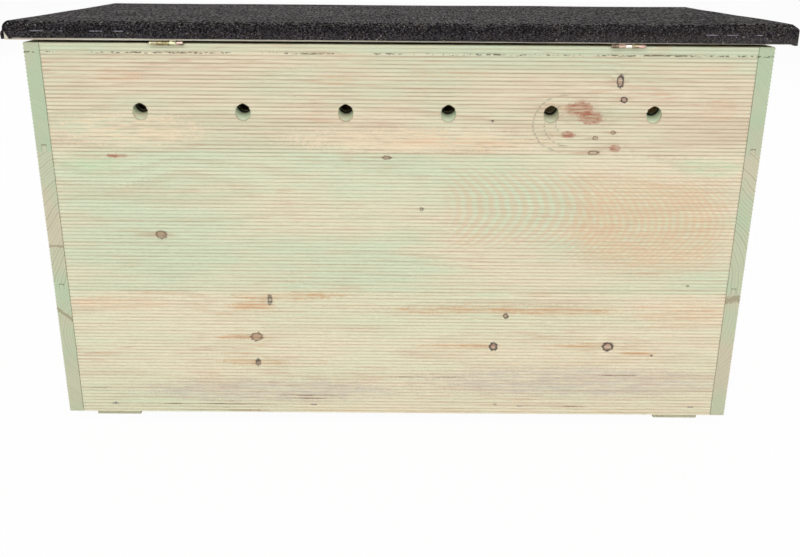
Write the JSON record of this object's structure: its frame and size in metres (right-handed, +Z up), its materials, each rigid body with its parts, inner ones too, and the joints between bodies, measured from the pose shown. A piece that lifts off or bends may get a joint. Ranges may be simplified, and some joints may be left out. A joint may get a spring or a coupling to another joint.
{
  "type": "hedgehog house",
  "caption": "Low wooden shelter of reeded tongue-and-groove boards, with a hinged felted lid, an entrance passage, a nest chamber, slanted vents and two bearers.",
  "frame": {"origin": "on the ground, in the middle of the space that the house takes up", "axes": "+Z up; the entrance faces -Y, the hinges and vents are at +Y; +X is to the right seen from the entrance"},
  "size_m": [0.6014, 0.2814, 0.338],
  "materials": {
    "cream_pine": "planed, bare",
    "green_pine": "planed, pressure treated",
    "rough_pine": "sawn, bare",
    "plywood": "sanded, bare",
    "zinc": "zinc plated",
    "brass": "dull",
    "roofing_felt": "mineral surfaced"
  },
  "bodies": {
    "house": {"rear_board_lower": "cream_pine", "rear_board_middle": "green_pine", "rear_board_upper": "cream_pine", "front_board_lower": "cream_pine", "front_board_middle": "green_pine", "front_board_upper": "cream_pine", "left_board_lower": "green_pine", "left_board_middle": "green_pine", "left_board_upper": "green_pine", "right_board_lower": "green_pine", "right_board_middle": "green_pine", "right_board_upper": "green_pine", "rear_left_post": "rough_pine", "rear_right_post": "rough_pine", "front_left_post": "rough_pine", "front_right_post": "rough_pine", "left_bearer": "rough_pine", "right_bearer": "rough_pine", "floor_panel": "plywood", "partition_panel": "plywood", "partition_front_cleat": "rough_pine", "partition_rear_cleat": "rough_pine", "left_side_brads": "zinc", "right_side_brads": "zinc", "cleat_brads": "zinc", "floor_screws": "zinc", "floor_staples": "zinc", "partition_screws": "zinc", "left_hinge_wall_leaf": "brass", "right_hinge_wall_leaf": "brass", "left_hinge_pin": "brass", "right_hinge_pin": "brass", "wall_leaf_screws": "brass"},
    "lid": {"left_hinge_lid_leaf": "brass", "right_hinge_lid_leaf": "brass", "lid_leaf_screws": "brass", "roof_board": "plywood", "roof_felt": "roofing_felt", "felt_staples": "zinc"}
  },
  "joints": [
    {"name": "lid_hinge", "type": "hinge", "parent": "house", "child": "lid", "pos_m": [0, 0.139, 0.3225], "axis": [-1, 0, 0], "range_deg": [0, 180]}
  ]
}
